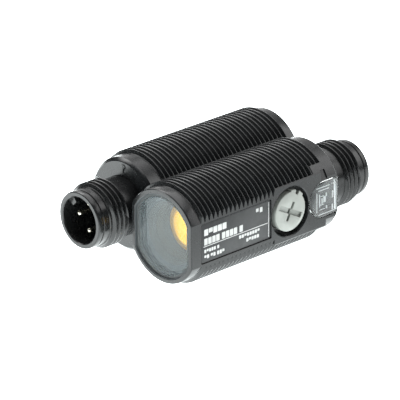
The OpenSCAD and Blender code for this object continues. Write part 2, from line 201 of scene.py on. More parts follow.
class Shape:
    """Vertices and faces of one piece, in a unit's own frame, in mm."""

    def __init__(self):
        self.verts = []
        self.faces = []

    def add(self, verts, faces):
        """Adds faces that are given by indices into their own vertices."""
        base = len(self.verts)
        self.verts += [tuple(v) for v in verts]
        self.faces += [[base + i for i in f] for f in faces]
        return self

    def skin(self, rings, closed=True, caps=True):
        """Quads between rings of equal length, with flat caps on the first and last."""
        n = len(rings[0])
        verts = [p for ring in rings for p in ring]
        faces = []
        last = n if closed else n - 1
        for k in range(len(rings) - 1):
            for i in range(last):
                j = (i + 1) % n
                faces.append([k * n + i, k * n + j, (k + 1) * n + j, (k + 1) * n + i])
        if caps:
            faces.append(list(range(n))[::-1])
            faces.append([(len(rings) - 1) * n + i for i in range(n)])
        return self.add(verts, faces)

    def move(self, matrix):
        """Turns and shifts what has been added so far."""
        self.verts = [tuple(matrix @ Vector(v)) for v in self.verts]
        return self

    def box(self, lo, hi):
        """Adds a box between two opposite corners."""
        x0, y0, z0 = lo
        x1, y1, z1 = hi
        return self.skin([
            [(x0, y0, z0), (x1, y0, z0), (x1, y1, z0), (x0, y1, z0)],
            [(x0, y0, z1), (x1, y0, z1), (x1, y1, z1), (x0, y1, z1)],
        ])

    def bmesh(self):
        """A welded mesh with its normals outwards. Faces that fall together are kept once."""
        bm = bmesh.new()
        made = [bm.verts.new(v) for v in self.verts]
        for face in self.faces:
            if len(set(face)) > 2:
                try:
                    bm.faces.new([made[i] for i in face])
                except ValueError:
                    pass
        bmesh.ops.remove_doubles(bm, verts=bm.verts, dist=WELD)
        bmesh.ops.dissolve_degenerate(bm, edges=bm.edges, dist=WELD)
        bmesh.ops.recalc_face_normals(bm, faces=bm.faces)
        return bm


def arc(center, r, a0, a1, n, plane):
    """n + 1 points of an arc. plane turns (u, v) into a point in space."""
    return [plane(center[0] + r * math.cos(a0 + (a1 - a0) * i / n),
                  center[1] + r * math.sin(a0 + (a1 - a0) * i / n)) for i in range(n + 1)]


def barrel_outline(r, half, fillet, y):
    """Circle of radius r cut by flats at x = +-half with rounded corners, at height y."""
    def at(u, v):
        return (u, y, v)
    zc = math.sqrt((r - fillet) ** 2 - (half - fillet) ** 2)
    turn = math.atan2(zc, half - fillet)
    right = [at(half, -zc + 2 * zc * i / FLAT_STEPS) for i in range(FLAT_STEPS)]
    corner_a = arc((half - fillet, zc), fillet, 0, turn, CORNER_STEPS, at)[:-1]
    top = arc((0, 0), r, turn, math.pi - turn, ARC_STEPS, at)[:-1]
    corner_b = arc((fillet - half, zc), fillet, math.pi - turn, math.pi, CORNER_STEPS, at)[:-1]
    upper = corner_a + top + corner_b
    left = [(-p[0], y, -p[2]) for p in right]
    lower = [(-p[0], y, -p[2]) for p in upper]
    return right + upper + left + lower


def outlines(rows):
    """Barrel outlines from (radius, half width, corner radius, y) rows."""
    return [barrel_outline(*row) for row in rows]


def circle_like(ring, r, y):
    """A circle about the axis with its points at the same angles as another ring's."""
    out = []
    for x, _, z in ring:
        k = r / math.hypot(x, z)
        out.append((x * k, y, z * k))
    return out


def lathe(profile, n):
    """Solid of revolution about the unit's axis from (radius, y) pairs."""
    turns = [TAU * i / n for i in range(n)]
    return Shape().skin([[(r * math.cos(a), y, r * math.sin(a)) for a in turns] for r, y in profile])


def lathe_dial(profile, n):
    """Solid of revolution about the adjuster's axis from (radius, x) pairs."""
    turns = [TAU * i / n for i in range(n)]
    return Shape().skin([[(x, DIAL_Y + r * math.cos(a), r * math.sin(a)) for a in turns] for r, x in profile])


def rounded_rect(x, y0, y1, z0, z1, r, n=5):
    """Rectangle with round corners in the plane of the label flat."""
    def at(u, v):
        return (x, u, v)
    ring = []
    corners = ((y1 - r, z0 + r), (y1 - r, z1 - r), (y0 + r, z1 - r), (y0 + r, z0 + r))
    for quarter, center in enumerate(corners):
        start = math.radians(90 * quarter - 90)
        ring += arc(center, r, start, start + math.pi / 2, n, at)
    return ring


def mesh_object(name, shape_or_bm):
    """New object in the scene from a Shape or a bmesh, still in the unit's own frame."""
    bm = shape_or_bm.bmesh() if isinstance(shape_or_bm, Shape) else shape_or_bm
    mesh = bpy.data.meshes.new(name)
    bm.to_mesh(mesh)
    bm.free()
    obj = bpy.data.objects.new(name, mesh)
    bpy.context.scene.collection.objects.link(obj)
    return obj


def apply_modifiers(obj):
    """Turns the modified mesh into the object's own mesh."""
    depsgraph = bpy.context.evaluated_depsgraph_get()
    mesh = bpy.data.meshes.new_from_object(obj.evaluated_get(depsgraph))
    old = obj.data
    obj.modifiers.clear()
    obj.data = mesh
    bpy.data.meshes.remove(old)
    return obj


def boolean(obj, tool, operation="DIFFERENCE"):
    """Cuts or joins with another object, which is used up."""
    mod = obj.modifiers.new("cut", "BOOLEAN")
    mod.operation = operation
    mod.solver = "EXACT"
    mod.object = tool
    bpy.context.view_layer.update()
    apply_modifiers(obj)
    bpy.data.objects.remove(tool)
    return obj


def bevel(obj, width, angle=35):
    """Rounds every edge that is sharper than an angle in degrees."""
    mod = obj.modifiers.new("bevel", "BEVEL")
    mod.width = width
    mod.segments = 2
    mod.limit_method = "ANGLE"
    mod.angle_limit = math.radians(angle)
    mod.harden_normals = False
    return apply_modifiers(obj)


# ------------------------------------------------------------------ places

def unit_place(unit):
    """Matrix from a unit's own frame in mm to the row frame in metres."""
    lo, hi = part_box(unit + "_housing")
    pins_lo, pins_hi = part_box(unit + "_pins")
    axis_x = (lo.x + hi.x) / 2
    axis_z = (pins_lo.z + pins_hi.z) / 2
    faces_back = pins_hi.y < (lo.y + hi.y) / 2
    front_y = hi.y if faces_back else lo.y
    turn = Matrix.Rotation(math.pi if faces_back else 0.0, 4, "Z")
    return Matrix.Translation((axis_x, front_y, axis_z)) @ turn @ Matrix.Scale(MM, 4)


PLACE = {unit: unit_place(unit) for unit in ("receiver", "emitter")}


def finish_piece(obj, unit, body, material, replaces=(), smooth=32):
    """Puts a finished mesh in its place and on its body, with its finish."""
    obj.data.transform(PLACE[unit])
    obj.data.materials.clear()
    obj.data.materials.append(material)
    for polygon in obj.data.polygons:
        polygon.use_smooth = True
    obj.data.set_sharp_from_angle(angle=math.radians(smooth))
    obj.data.update()
    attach(obj, body)
    if replaces:
        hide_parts(*replaces)
    return obj


# ------------------------------------------------------------------ materials

def node_material(name):
    """New material with its nodes, its links and its main shader."""
    material = bpy.data.materials.new(name)
    material.use_nodes = True
    nodes = material.node_tree.nodes
    links = material.node_tree.links
    shader = nodes["Principled BSDF"]
    return material, nodes, links, shader


def noise_node(nodes, links, scale_mm, detail, stretch=(1, 1, 1)):
    """Noise whose features are about scale_mm across, in object space."""
    coords = nodes.new("ShaderNodeTexCoord")
    mapping = nodes.new("ShaderNodeMapping")
    mapping.inputs["Scale"].default_value = stretch
    noise = nodes.new("ShaderNodeTexNoise")
    noise.inputs["Scale"].default_value = 1.0 / (scale_mm * MM)
    noise.inputs["Detail"].default_value = detail
    noise.inputs["Roughness"].default_value = 0.55
    links.new(coords.outputs["Object"], mapping.inputs["Vector"])
    links.new(mapping.outputs["Vector"], noise.inputs["Vector"])
    return noise


def ramp_between(nodes, links, source, low, high, start=0.3, end=0.7):
    """Colour that goes from low to high while the source goes from start to end."""
    ramp = nodes.new("ShaderNodeValToRGB")
    ramp.color_ramp.elements[0].position = start
    ramp.color_ramp.elements[1].position = end
    ramp.color_ramp.elements[0].color = (*low, 1)
    ramp.color_ramp.elements[1].color = (*high, 1)
    links.new(source, ramp.inputs["Fac"])
    return ramp.outputs["Color"]


def map_value(nodes, links, source, low, high, start=0.25, end=0.75):
    """Value that goes from low to high while the source goes from start to end, and stays there."""
    node = nodes.new("ShaderNodeMapRange")
    node.inputs["From Min"].default_value = start
    node.inputs["From Max"].default_value = end
    node.inputs["To Min"].default_value = low
    node.inputs["To Max"].default_value = high
    links.new(source, node.inputs["Value"])
    return node.outputs["Result"]


def add_bump(nodes, links, shader, height, distance_mm):
    """Surface relief from a height socket, distance_mm deep."""
    bump = nodes.new("ShaderNodeBump")
    bump.inputs["Strength"].default_value = 1.0
    bump.inputs["Distance"].default_value = distance_mm * MM
    links.new(height, bump.inputs["Height"])
    links.new(bump.outputs["Normal"], shader.inputs["Normal"])


def combine(nodes, links, operation, a, b):
    """Sum or product of two value sockets."""
    node = nodes.new("ShaderNodeMath")
    node.operation = operation
    links.new(a, node.inputs[0])
    links.new(b, node.inputs[1])
    return node.outputs["Value"]


def paint_crevice_shade(nodes, links, color, amount):
    """Painted shade in slots and corners: the colour darkens where ambient occlusion finds surfaces close by.
    """
    shade = nodes.new("ShaderNodeAmbientOcclusion")
    shade.samples = 8
    shade.inputs["Distance"].default_value = 0.9 * MM
    painted_shade = map_value(nodes, links, shade.outputs["AO"], amount, 1.0, 0.3, 0.9)
    mix = nodes.new("ShaderNodeMix")
    mix.data_type = "RGBA"
    # Near-black colour of the painted shade
    mix.inputs["A"].default_value = (0.02, 0.02, 0.015, 1)
    links.new(painted_shade, mix.inputs["Factor"])
    links.new(color, mix.inputs["B"])
    return mix.outputs["Result"]


def plastic(name, dark, light, rough, grain_mm=0.12, bump_mm=0.004, glow=0.0, crevice_shade=1.0, specular=0.5):
    """Moulded plastic: slight mottling, uneven gloss and a fine spark-eroded grain."""
    material, nodes, links, shader = node_material(name)
    mottle = noise_node(nodes, links, 2.4, detail=6)
    color = ramp_between(nodes, links, mottle.outputs["Fac"], dark, light)
    # Below 1, this paints shade into slots and corners
    if crevice_shade < 1.0:
        color = paint_crevice_shade(nodes, links, color, crevice_shade)
    links.new(color, shader.inputs["Base Color"])
    # Glow makes the colour shine, a painted highlight on a part that is no lamp
    if glow:
        links.new(color, shader.inputs["Emission Color"])
        shader.inputs["Emission Strength"].default_value = glow
    gloss = noise_node(nodes, links, 1.1, detail=5)
    links.new(map_value(nodes, links, gloss.outputs["Fac"], *rough), shader.inputs["Roughness"])
    grain = noise_node(nodes, links, grain_mm, detail=3)
    add_bump(nodes, links, shader, grain.outputs["Fac"], bump_mm)
    shader.inputs["IOR"].default_value = 1.5
    shader.inputs["Specular IOR Level"].default_value = specular
    return material


def clear_plastic(name, tint, rough, ior=1.49, bump_mm=0.0015):
    """Clear moulded plastic with faint flow marks."""
    material, nodes, links, shader = node_material(name)
    flow = noise_node(nodes, links, 1.6, detail=3, stretch=(1, 0.4, 1))
    color = ramp_between(nodes, links, flow.outputs["Fac"], [c * 0.96 for c in tint], tint)
    links.new(color, shader.inputs["Base Color"])
    links.new(map_value(nodes, links, flow.outputs["Fac"], *rough), shader.inputs["Roughness"])
    add_bump(nodes, links, shader, flow.outputs["Fac"], bump_mm)
    shader.inputs["Transmission Weight"].default_value = 1.0
    shader.inputs["IOR"].default_value = ior
    return material


def add_haze(material, color, amount):
    """Mixes a faint milky layer into a clear material."""
    nodes = material.node_tree.nodes
    links = material.node_tree.links
    output = nodes["Material Output"]
    milk = nodes.new("ShaderNodeBsdfDiffuse")
    milk.inputs["Color"].default_value = (*color, 1)
    cloud = noise_node(nodes, links, 3.0, detail=2)
    mix = nodes.new("ShaderNodeMixShader")
    links.new(map_value(nodes, links, cloud.outputs["Fac"], amount * 0.92, amount * 1.08), mix.inputs["Fac"])
    links.new(nodes["Principled BSDF"].outputs["BSDF"], mix.inputs[1])
    links.new(milk.outputs["BSDF"], mix.inputs[2])
    links.new(mix.outputs["Shader"], output.inputs["Surface"])


def metal(name, dark, light):
    """Plated or tinned metal with fine drawn grain."""
    material, nodes, links, shader = node_material(name)
    tarnish = noise_node(nodes, links, 0.9, detail=5)
    color = ramp_between(nodes, links, tarnish.outputs["Fac"], dark, light)
    links.new(color, shader.inputs["Base Color"])
    grain = noise_node(nodes, links, 0.08, detail=3, stretch=(1, 0.15, 1))
    links.new(map_value(nodes, links, grain.outputs["Fac"], 0.18, 0.32), shader.inputs["Roughness"])
    add_bump(nodes, links, shader, grain.outputs["Fac"], 0.002)
    shader.inputs["Metallic"].default_value = 1.0
    return material


def rubber(name):
    """Matt black elastomer with a faint bloom."""
    material, nodes, links, shader = node_material(name)
    bloom = noise_node(nodes, links, 1.3, detail=6)
    color = ramp_between(nodes, links, bloom.outputs["Fac"], (0.010, 0.010, 0.010), (0.026, 0.026, 0.027))
    links.new(color, shader.inputs["Base Color"])
    links.new(map_value(nodes, links, bloom.outputs["Fac"], 0.55, 0.75), shader.inputs["Roughness"])
    grain = noise_node(nodes, links, 0.1, detail=3)
    add_bump(nodes, links, shader, grain.outputs["Fac"], 0.006)
    return material


def circuit_board(name):
    """Green solder mask with copper tracks showing under it and tinned pads."""
    material, nodes, links, shader = node_material(name)
    coords = nodes.new("ShaderNodeTexCoord")
    cells = nodes.new("ShaderNodeTexVoronoi")
    cells.distance = "CHEBYCHEV"
    cells.inputs["Scale"].default_value = 1.0 / (1.4 * MM)
    links.new(coords.outputs["Object"], cells.inputs["Vector"])
    tracks = map_value(nodes, links, cells.outputs["Distance"], 0.0, 1.0, 0.30, 0.34)
    mask = ramp_between(nodes, links, tracks, (0.012, 0.085, 0.030), (0.030, 0.180, 0.070), 0.2, 0.8)
    links.new(mask, shader.inputs["Base Color"])
    links.new(map_value(nodes, links, tracks, 0.22, 0.36), shader.inputs["Roughness"])
    add_bump(nodes, links, shader, tracks, 0.02)
    return material


BLACK = plastic(
    "housing_plastic", (0.010, 0.011, 0.0115), (0.016, 0.018, 0.019), (0.20, 0.30), bump_mm=0.002)
PLUG_BLACK = plastic(
    "plug_plastic", (0.009, 0.0095, 0.010), (0.015, 0.016, 0.0165), (0.20, 0.30), bump_mm=0.002)
INNER_BLACK = plastic(
    "inner_plastic", (0.075, 0.082, 0.084), (0.105, 0.113, 0.116), (0.5, 0.65), bump_mm=0.0006)
CARRIER_BLACK = plastic(
    "carrier_plastic", (0.004, 0.004, 0.004), (0.008, 0.008, 0.008), (0.6, 0.75))
LABEL_GREY = plastic(
    "label_plate", (0.026, 0.028, 0.029), (0.040, 0.042, 0.044), (0.42, 0.55), grain_mm=0.06)
PRINT_WHITE = plastic(
    "label_print", (0.62, 0.63, 0.62), (0.78, 0.79, 0.78), (0.5, 0.6), grain_mm=0.05)
# The dial's slots and corners get painted shade
DIAL_WHITE = plastic(
    "dial_plastic", (0.36, 0.38, 0.35), (0.44, 0.46, 0.43), (0.36, 0.5), grain_mm=0.1, crevice_shade=0.5)
PACKAGE_BLACK = plastic(
    "component_package", (0.014, 0.014, 0.016), (0.034, 0.034, 0.038), (0.5, 0.65))
CASE_WHITE = plastic(
    "trimmer_case", (0.55, 0.56, 0.56), (0.70, 0.71, 0.71), (0.35, 0.5))
ROTOR_CREAM = plastic(
    "trimmer_rotor_plastic", (0.62, 0.58, 0.46), (0.74, 0.70, 0.58), (0.4, 0.5))
LAMP_CREAM = plastic(
    "indicator_lamp_body", (0.66, 0.62, 0.40), (0.80, 0.76, 0.54), (0.3, 0.4))
FLEX_AMBER = plastic(
    "flex_film", (0.40, 0.17, 0.015), (0.55, 0.26, 0.03), (0.2, 0.3))
WINDOW_CLEAR = clear_plastic("window_glass", (0.86, 0.90, 0.91), (0.0, 0.03), ior=1.22, bump_mm=0.0002)
add_haze(WINDOW_CLEAR, (0.38, 0.44, 0.46), 0.19)
WINDOW_BORDER = plastic(
    "window_border", (0.048, 0.054, 0.056), (0.064, 0.071, 0.073), (0.52, 0.62), bump_mm=0.001)
# Painted light: the wall behind the border is a lighter matt grey than the border, so it does not read as a
# dark shaded band
BORDER_WALL_PAINTED_LIGHT = plastic(
    "window_border_wall_painted_light", (0.09, 0.10, 0.105), (0.12, 0.13, 0.135), (0.85, 0.95), specular=0.06)
CLEAR = clear_plastic("indicator_clear", (0.93, 0.96, 0.96), (0.01, 0.04))
GUIDE = clear_plastic("light_guide_clear", (0.88, 0.93, 0.92), (0.10, 0.25))
# White facets that glow a little: painted glints of the light guide
FACETS_PAINTED_GLINTS = plastic(
    "light_guide_painted_glints", (0.68, 0.73, 0.74), (0.92, 0.94, 0.94), (0.08, 0.2), bump_mm=0.001, glow=0.2)
LENS_CLEAR = clear_plastic("emitter_lens_clear", (0.90, 0.93, 0.94), (0.02, 0.06))
LED_RED = clear_plastic("emitter_led_red", (0.85, 0.10, 0.06), (0.05, 0.12))
PIN_METAL = metal("pin_plating", (0.70, 0.66, 0.52), (0.86, 0.83, 0.72))
WIRE_METAL = metal("tinned_wire", (0.55, 0.55, 0.54), (0.72, 0.72, 0.71))
SHIELD_METAL = metal("shield_plating", (0.62, 0.50, 0.26), (0.78, 0.66, 0.38))
RUBBER = rubber("black_rubber")
BOARD = circuit_board("solder_mask")


def amber_lens_painted_glow_material():
    """Amber moulded lens with a painted glow, though it is no lamp: strong in its middle, faint at its rim
    and dimmer towards its -X edge.
    """
    material, nodes, links, shader = node_material("amber_lens")
    cloud = noise_node(nodes, links, 1.8, detail=3)
    color = ramp_between(nodes, links, cloud.outputs["Fac"], (1.0, 0.47, 0.002), (1.0, 0.55, 0.004))
    links.new(color, shader.inputs["Base Color"])
    links.new(map_value(nodes, links, cloud.outputs["Fac"], 0.08, 0.16), shader.inputs["Roughness"])
    links.new(color, shader.inputs["Emission Color"])
    coords = nodes.new("ShaderNodeTexCoord")
    split = nodes.new("ShaderNodeSeparateXYZ")
    links.new(coords.outputs["Object"], split.inputs["Vector"])
    place = PLACE["receiver"].translation
    offset = nodes.new("ShaderNodeVectorMath")
    offset.operation = "DISTANCE"
    offset.inputs[1].default_value = (place.x, 0, place.z)
    flatten = nodes.new("ShaderNodeCombineXYZ")
    links.new(split.outputs["X"], flatten.inputs["X"])
    links.new(split.outputs["Z"], flatten.inputs["Z"])
    links.new(flatten.outputs["Vector"], offset.inputs[0])
    # Painted glow: strong within 3 mm of the axis, faint at the rim and dimmer towards the -X edge
    rim = map_value(nodes, links, offset.outputs["Value"], 1.9, 0.15, 3.0 * MM, 3.6 * MM)
    side = map_value(nodes, links, split.outputs["X"], 0.6, 1.0, place.x - 3.0 * MM, place.x - 1.6 * MM)
    links.new(combine(nodes, links, "MULTIPLY", rim, side), shader.inputs["Emission Strength"])
    shader.inputs["IOR"].default_value = 1.49
    shader.inputs["Coat Weight"].default_value = 1.0
    return material


AMBER_PAINTED_GLOW = amber_lens_painted_glow_material()


# ------------------------------------------------------------------ threaded skins

# One turn of a thread with a broad rounded crest: (share of the pitch, share of the height)
THREAD_TURN = [(0.00, 0.0), (0.06, 0.02), (0.12, 0.10), (0.34, 0.84), (0.38, 0.93), (0.43, 0.98), (0.50, 1.0),
               (0.57, 0.98), (0.62, 0.93), (0.66, 0.84), (0.88, 0.10), (0.94, 0.02)]


def columns(n, extras):
    """Angles of a skin's columns, evenly spaced, with close pairs where a step is wanted."""
    angles = [TAU * i / n for i in range(n + 1)]
    for a in extras:
        angles += [(a - STEP_ANGLE) % TAU, (a + STEP_ANGLE) % TAU]
    return sorted(set(angles))


def column_point(angle, r, y):
    """Angle 0 is up and a quarter turn is the label side, so a rising helix is right-handed."""
    return (r * math.sin(angle), y, r * math.cos(angle))


def plain_row(angles, r, y):
    """One row of a skin, all at one radius."""
    return [column_point(a, r, y) for a in angles]


def thread_rows(angles, y0, turns, pitch, base, crest, change=None):
    """Rows of a helical thread that rises out of a plain cylinder and sinks back into it."""
    y1 = y0 + turns * pitch
    lead = 0.45 * pitch
    rows = [plain_row(angles, base, y0)]
    for turn in range(-1, turns + 1):
        for share, lift in THREAD_TURN:
            row = []
            for a in angles:
                y = y0 + pitch * (turn + share + a / TAU)
                run = min(1.0, max(0.0, min(y - y0, y1 - y) / lead))
                r = base + (crest - base) * lift * run * run * (3 - 2 * run)
                y = min(max(y, y0), y1)
                if change and y0 < y < y1:
                    r = change(a, y, r)
                row.append(column_point(a, r, y))
            rows.append(row)
    rows.append(plain_row(angles, base, y1))
    return rows


def pad_angle(z):
    """Angle at which a pad's edge at height z crosses the crests."""
    return math.acos(z / BARREL_R)


def barrel_radius(angle, y, r):
    """Fills the grooves of the pad beside the dial, and ends the thread early at the lower rear."""
    on_label_side = math.sin(angle) > 0
    up = BARREL_R * math.cos(angle)
    if on_label_side and y > PAD_Y and abs(up) < PAD_Z:
        return BARREL_R - PAD_DROP
    if on_label_side and y > PAD_REAR_Y and 0 < up < PAD_REAR_Z:
        return BARREL_R - PAD_DROP
    if on_label_side and y > RELIEF_Y and up < -RELIEF_Z:
        return COLLAR_R
    return r


def barrel_solid():
    """Threaded barrel with its two flats, before it is hollowed."""
    extras = [pad_angle(PAD_Z), pad_angle(-PAD_Z), pad_angle(PAD_REAR_Z)]
    angles = columns(144, extras)
    rows = [plain_row(angles, COLLAR_R - FRONT_CHAMFER * (1 - math.sin(t)), FRONT_CHAMFER * (1 - math.cos(t)))
            for t in (math.radians(0), math.radians(30), math.radians(60), math.radians(90))]
    rows += thread_rows(angles, THREAD_START, THREAD_TURNS, BARREL_PITCH, COLLAR_R, BARREL_R, barrel_radius)
    rows += [plain_row(angles, COLLAR_R - inset, BODY_LEN - rear)
             for inset, rear in ((0, REAR_CHAMFER), (0.08, 0.45), (0.52, 0.05), (REAR_CHAMFER, 0))]
    shape = Shape().skin(rows, closed=False, caps=False)
    centre_front = [(0.0, 0.0, 0.0)] * len(angles)
    centre_rear = [(0.0, BODY_LEN, 0.0)] * len(angles)
    shape.skin([centre_front, rows[0]], closed=False, caps=False)
    shape.skin([rows[-1], centre_rear], closed=False, caps=False)
    bm = shape.bmesh()
    for side in (-1, 1):
        slice_off(bm, (side * FLAT, 0, 0), (side, 0, 0))
        slice_off(bm, (side * FLAT, FLAT_CHAMFER, 0), (side, -1, 0))
        slice_off(bm, (side * FLAT, BODY_LEN - FLAT_CHAMFER, 0), (side, 1, 0))
    bmesh.ops.recalc_face_normals(bm, faces=bm.faces)
    return mesh_object("barrel", bm)


def slice_off(bm, point, normal):
    """Cuts away what lies beyond a plane and closes the cut."""
    geometry = bm.verts[:] + bm.edges[:] + bm.faces[:]
    cut = bmesh.ops.bisect_plane(bm, geom=geometry, dist=1e-5, plane_co=point,
                                 plane_no=Vector(normal).normalized(), clear_outer=True)
    edges = [e for e in cut["geom_cut"] if isinstance(e, bmesh.types.BMEdge)]
    bmesh.ops.holes_fill(bm, edges=edges, sides=0)


# ------------------------------------------------------------------ housings

def clear_ring(x, inset, y_rear, n=28):
    """Outline of the indicator window: a round front end and a square rear end."""
    r = CLEAR_R - inset
    ring = [(x, CLEAR_Y - r * math.sin(math.pi * i / n), r * math.cos(math.pi * i / n)) for i in range(n + 1)]
    return ring + [(x, y_rear, -r), (x, y_rear, r)]


def hollow_tool(with_dial):
    """Everything that is cut out of a barrel, as one tool."""
    seat = outlines([(SEAT_R + g, SEAT_FLAT + g, CORNER_R, y)
                     for g, y in ((0.26, -0.2), (0.06, 0.0), (0, 0.06), (0, SEAT_BACK))])
    cavity = outlines([(CAVITY_R, CAVITY_FLAT, CORNER_R, y) for y in (SEAT_BACK, REAR_WALL_Y)])
    neck = [circle_like(cavity[0], NECK_R + 0.05, y) for y in (REAR_WALL_Y, BODY_LEN + 1)]
    tool = mesh_object("hollow", Shape().skin(seat + cavity + neck))
    if with_dial:
        boss = lathe_dial([(BOSS_R, BOSS_BACK), (BOSS_R, 7.0)], 64)
        boolean(tool, mesh_object("boss", boss))
        shaft_hole = SHAFT_R + 0.05
        rim = WELL_R + 0.14
        well = lathe_dial([
            (shaft_hole, 4.0), (shaft_hole, O_RING_SEAT_X), (O_RING_SEAT_R, O_RING_SEAT_X),
            (O_RING_SEAT_R, WELL_FLOOR), (WELL_R, WELL_FLOOR), (WELL_R, FLAT - 0.16), (rim, FLAT + 0.001),
            (rim, FLAT + 1)], 96)
        boolean(tool, mesh_object("well", well), "UNION")
    label = Shape().skin([
        rounded_rect(x, LABEL_Y0 - g, LABEL_Y1 + g, -LABEL_HALF - g, LABEL_HALF + g, LABEL_CORNER_R + g)
        for x, g in ((FLAT - LABEL_DEPTH, 0.0), (FLAT - 0.06, 0.0), (FLAT, 0.05), (FLAT + 0.3, 0.05))])
    boolean(tool, mesh_object("label_recess", label), "UNION")
    mark = Shape().box((MARK_X, MARK_Y0, -MARK_HALF), (9.5, MARK_Y1, MARK_HALF))
    mark.move(Matrix.Rotation(-MARK_ANGLE, 4, "Y"))
    boolean(tool, mesh_object("mark_recess", mark), "UNION")
    clear = Shape().skin([clear_ring(x, -0.05 - g, BODY_LEN + 0.5)
                          for x, g in ((CLEAR_IN, 0.0), (FLAT - 0.05, 0.0), (FLAT + 0.3, 0.05))])
    boolean(tool, mesh_object("clear_recess", clear), "UNION")
    light = Shape().box((CAVITY_FLAT - 0.6, LIGHT_Y0, -LIGHT_HALF), (CLEAR_IN + 0.2, LIGHT_Y1, LIGHT_HALF))
    boolean(tool, mesh_object("light_opening", light), "UNION")
    return tool


def add_key_rib(obj):
    """Small raised rib and dot at the top of the rear face."""
    rib = Shape().box((-RIB_HALF, BODY_LEN - 0.2, RIB_Z0), (RIB_HALF, BODY_LEN + 0.15, RIB_Z1))
    boolean(obj, mesh_object("rib", rib), "UNION")
    dot = lathe([(DOT_R, BODY_LEN - 0.1), (DOT_R, BODY_LEN + 0.08), (DOT_R - 0.08, BODY_LEN + 0.12)], 32)
    dot.move(Matrix.Translation((DOT_X, 0, DOT_Z)))
    return boolean(obj, mesh_object("dot", dot), "UNION")


def make_housings():
    """Both barrels, hollowed out of one solid. Only the receiver has the well of the dial."""
    barrel = barrel_solid()
    add_key_rib(barrel)
    for unit, with_dial in (("receiver", True), ("emitter", False)):
        body = bpy.data.objects.new(unit + "_barrel", barrel.data.copy())
        bpy.context.scene.collection.objects.link(body)
        boolean(body, hollow_tool(with_dial))
        finish_piece(body, unit, unit, BLACK, [unit + "_housing"], smooth=28)
    bpy.data.objects.remove(barrel)


make_housings()


# ------------------------------------------------------------------ front windows and optics

def make_window(unit):
    """Flat window with a raised pane, the satin border round it and the wall behind the border, whose lighter
    matt grey is painted light.

    The border's lip reaches into the pane, so that no light runs up between the two.
    """
    pane = (PANE_R, PANE_HALF, PANE_CORNER_R)
    rings = outlines([
        (WINDOW_R - 0.04, WINDOW_HALF - 0.04, 0.80, WINDOW_BACK_Y),
        (WINDOW_R, WINDOW_HALF, 0.80, WINDOW_BACK_Y - 0.07), (WINDOW_R, WINDOW_HALF, 0.80, 0.56),
        (*pane, 0.55), (*pane, PANE_Y + 0.11), (PANE_R - 0.11, PANE_HALF - 0.11, 0.72, PANE_Y)])
    obj = mesh_object(unit + "_front_window", Shape().skin(rings))
    finish_piece(obj, unit, unit, WINDOW_CLEAR, [unit + "_window"])
    lip = (PANE_R - 0.03, PANE_HALF - 0.03, PANE_CORNER_R)
    rim = (WINDOW_R - 0.02, WINDOW_HALF - 0.02, 0.84)
    rings = outlines([
        (*lip, 0.68), (*lip, BORDER_Y + 0.03), (PANE_R + 0.04, PANE_HALF + 0.04, 0.76, BORDER_Y),
        (*rim, BORDER_Y), (*rim, 0.68)])
    obj = mesh_object(unit + "_window_border", Shape().skin(rings + [rings[0]], caps=False))
    finish_piece(obj, unit, unit, WINDOW_BORDER)
    rings = outlines([(WINDOW_R + g, WINDOW_HALF + g, corner, y) for g, corner, y in (
        (-0.14, 0.80, 1.97), (-0.18, 0.80, 1.93), (-0.18, 0.80, 0.74), (-0.14, 0.80, 0.70), (0, 0.84, 0.70),
        (0, 0.84, 0.38), (0.03, 0.86, 0.10), (0.10, 0.90, 0.07), (0.10, 0.90, 1.97))])
    obj = mesh_object(unit + "_border_wall", Shape().skin(rings + [rings[0]], caps=False))
    finish_piece(obj, unit, unit, BORDER_WALL_PAINTED_LIGHT)


def dome_profile(r, height, y_base, n=14):
    """Points of a spherical cap that bulges towards the front, from its rim to its pole."""
    sphere = (r * r + height * height) / (2 * height)
    half = math.asin(r / sphere)
    centre = y_base - height + sphere
    return [(max(sphere * math.sin(half * (1 - i / n)), 1e-4), centre - sphere * math.cos(half * (1 - i / n)))
            for i in range(n + 1)]


def make_lens(unit, material):
    """Condensing lens: a softened rim with a dome on its front."""
    profile = [(LENS_RIM_R - 0.04, LENS_BACK_Y), (LENS_RIM_R, LENS_BACK_Y - 0.04),
               (LENS_RIM_R, LENS_FRONT_Y + 0.04), (LENS_RIM_R - 0.04, LENS_FRONT_Y),
               (LENS_R + 0.06, LENS_FRONT_Y)] + dome_profile(LENS_R, LENS_DOME, LENS_FRONT_Y - 0.01)
    obj = mesh_object(unit + "_dome_lens", lathe(profile, 96))
    finish_piece(obj, unit, unit, material, [unit + "_lens"])


def make_lens_holder(unit):
    """Optical block: flat-sided outside, stepped cone inside."""
    outer = outlines([(HOLDER_R - g, HOLDER_HALF - g, HOLDER_CORNER_R, y) for g, y in (
        (0, HOLDER_BACK_Y), (0, HOLDER_FRONT_Y + 0.1), (0.1, HOLDER_FRONT_Y))])
    bore = LENS_RIM_R + 0.04
    stop = LENS_BACK_Y + 0.01
    inner = [circle_like(outer[0], r, y) for r, y in (
        (5.62, HOLDER_FRONT_Y), (5.55, HOLDER_FRONT_Y + 0.1), (5.2, 4.1), (5.08, 4.1), (4.75, 5.5),
        (4.63, 5.5), (bore, LENS_FRONT_Y - 0.1), (bore, stop), (3.0, stop), (3.0, HOLDER_BACK_Y))]
    shape = Shape().skin(outer + inner + [outer[0]], caps=False)
    obj = mesh_object(unit + "_optical_block", shape)
    finish_piece(obj, unit, unit, INNER_BLACK, [unit + "_lens_holder"])


for unit in PLACE:
    make_window(unit)
    make_lens_holder(unit)
make_lens("receiver", AMBER_PAINTED_GLOW)
make_lens("emitter", LENS_CLEAR)


# ------------------------------------------------------------------ label

